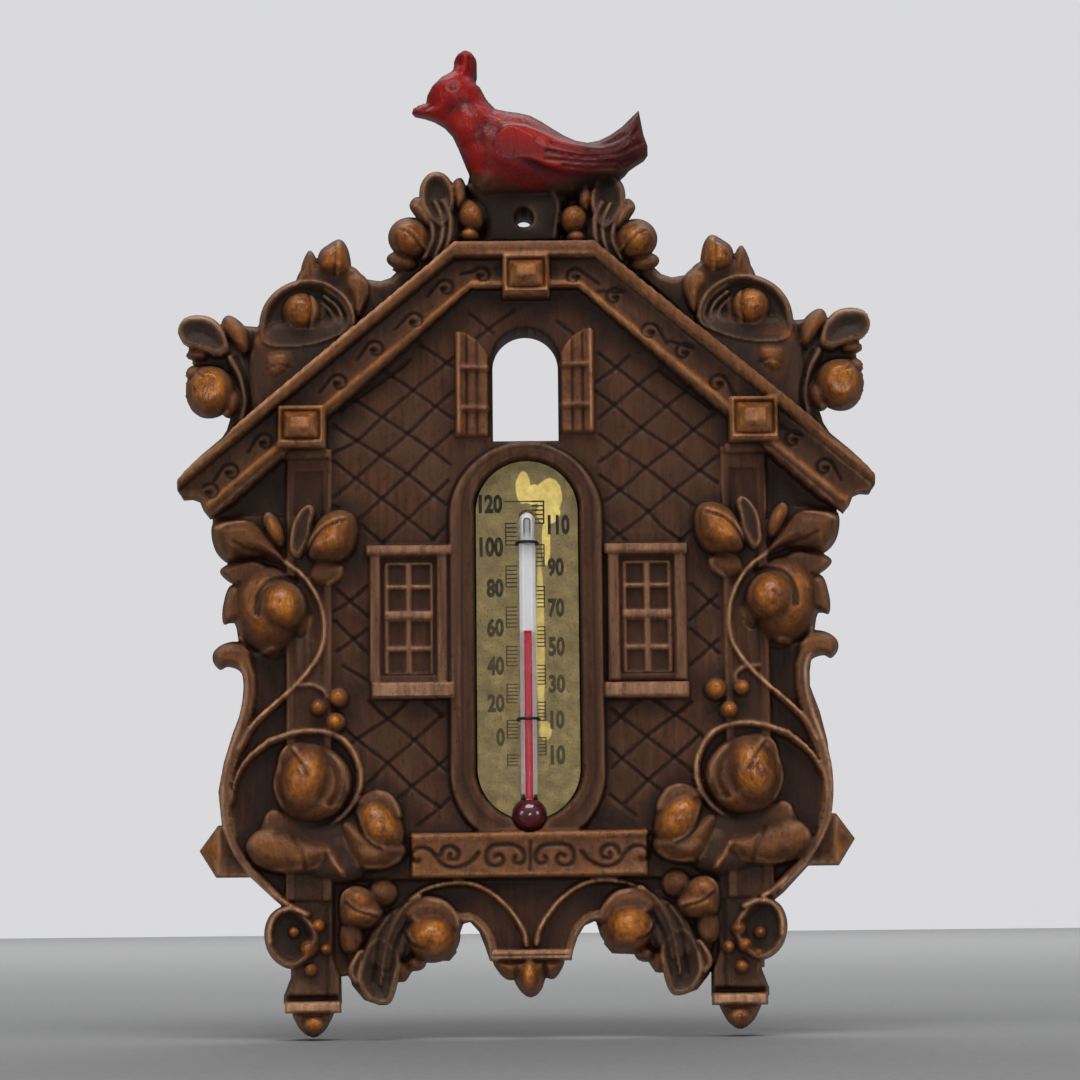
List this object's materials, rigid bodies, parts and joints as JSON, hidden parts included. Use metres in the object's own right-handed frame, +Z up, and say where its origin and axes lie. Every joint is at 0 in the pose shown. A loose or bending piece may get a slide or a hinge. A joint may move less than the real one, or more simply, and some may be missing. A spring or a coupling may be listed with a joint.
{
  "type": "wall thermometer",
  "caption": "Moulded house-shaped wall plaque with a bird on its roof, carrying a brass scale plate and a glass tube of red spirit.",
  "frame": {"origin": "centre of the hanging hole on the flat back of the plaque", "axes": "+X to the right as seen from the front, +Z up, -Y out of the front, with the flat back in the plane y = 0"},
  "size_m": [0.1248, 0.0175, 0.1759],
  "materials": {
    "stained_casting": "satin",
    "plate_brass": "tarnished",
    "dry_glue": "matte",
    "tube_glass": "gloss",
    "white_enamel": "gloss",
    "red_spirit": "gloss",
    "dark_wire": "blackened"
  },
  "bodies": {
    "house": {"plaque": "stained_casting", "scale_plate": "plate_brass", "plate_adhesive": "dry_glue", "glass_tube": "tube_glass", "tube_backing": "white_enamel", "bulb_spirit": "red_spirit", "spirit_column": "red_spirit", "upper_clip": "dark_wire", "lower_clip": "dark_wire"},
    "spirit": {"spirit_surface": "red_spirit"}
  },
  "joints": [
    {"name": "spirit_level", "type": "slide", "parent": "house", "child": "spirit", "axis": [0, 0, 1], "range_m": [-0.02457, 0.01737], "deforming": ["spirit_column"]}
  ]
}
